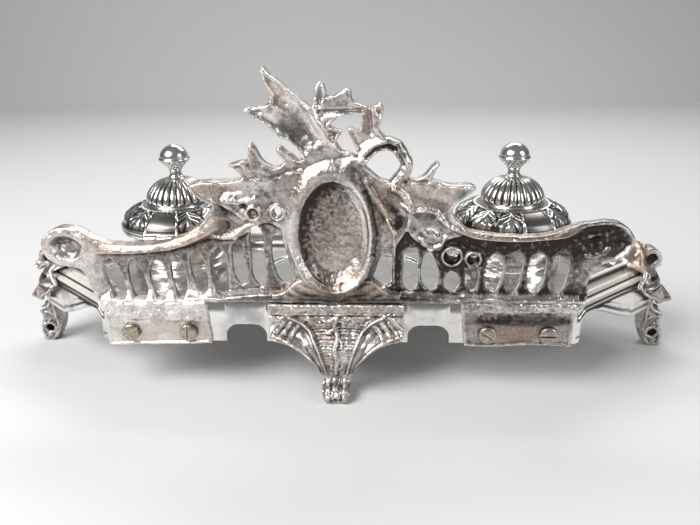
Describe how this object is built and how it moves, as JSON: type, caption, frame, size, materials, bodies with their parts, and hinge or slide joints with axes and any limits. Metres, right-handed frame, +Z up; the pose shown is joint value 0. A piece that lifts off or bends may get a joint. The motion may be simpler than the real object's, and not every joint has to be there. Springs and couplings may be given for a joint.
{
  "type": "desk inkstand",
  "caption": "Silver-plated desk inkstand: octagonal tray on scroll legs, openwork rear gallery with rocaille crest, glass ink pots under hinged domed lids",
  "frame": {"origin": "On the table under the middle of the tray, at the bottom centre of the bounding box", "axes": "+X along the tray towards the right-hand well, +Y towards the rear gallery, +Z up; the writer sits on the -Y side"},
  "size_m": [0.35, 0.14, 0.1534],
  "materials": {
    "silver_sheet": "silver-plated brass sheet, polished",
    "silver_casting": "silver-plated brass casting, worn warm on its pitted back",
    "screw_steel": "turned steel, bright",
    "nut_brass": "plain brass",
    "pot_glass": "clear moulded glass"
  },
  "bodies": {
    "base": {"tray": "silver_sheet", "gallery": "silver_casting", "crest": "silver_casting", "gallery_screws": "screw_steel", "gallery_nuts": "nut_brass", "rear_leg": "silver_casting", "front_leg": "silver_casting", "left_leg": "silver_casting", "right_leg": "silver_casting", "leg_screws": "screw_steel", "left_end_leaf": "silver_casting", "right_end_leaf": "silver_casting", "left_well": "silver_sheet", "right_well": "silver_sheet", "well_screws": "screw_steel", "left_ink_pot": "pot_glass", "right_ink_pot": "pot_glass", "left_hinge_pin": "screw_steel", "right_hinge_pin": "screw_steel"},
    "left_lid_body": {"left_lid": "silver_sheet", "left_finial": "silver_casting"},
    "right_lid_body": {"right_lid": "silver_sheet", "right_finial": "silver_casting"}
  },
  "joints": [
    {"name": "left_lid_hinge", "type": "hinge", "parent": "base", "child": "left_lid_body", "pos_m": [-0.089, 0.0257, 0.0671], "axis": [-1, 0, 0], "range_deg": [0, 95]},
    {"name": "right_lid_hinge", "type": "hinge", "parent": "base", "child": "right_lid_body", "pos_m": [0.089, 0.0257, 0.0671], "axis": [-1, 0, 0], "range_deg": [0, 95]}
  ]
}
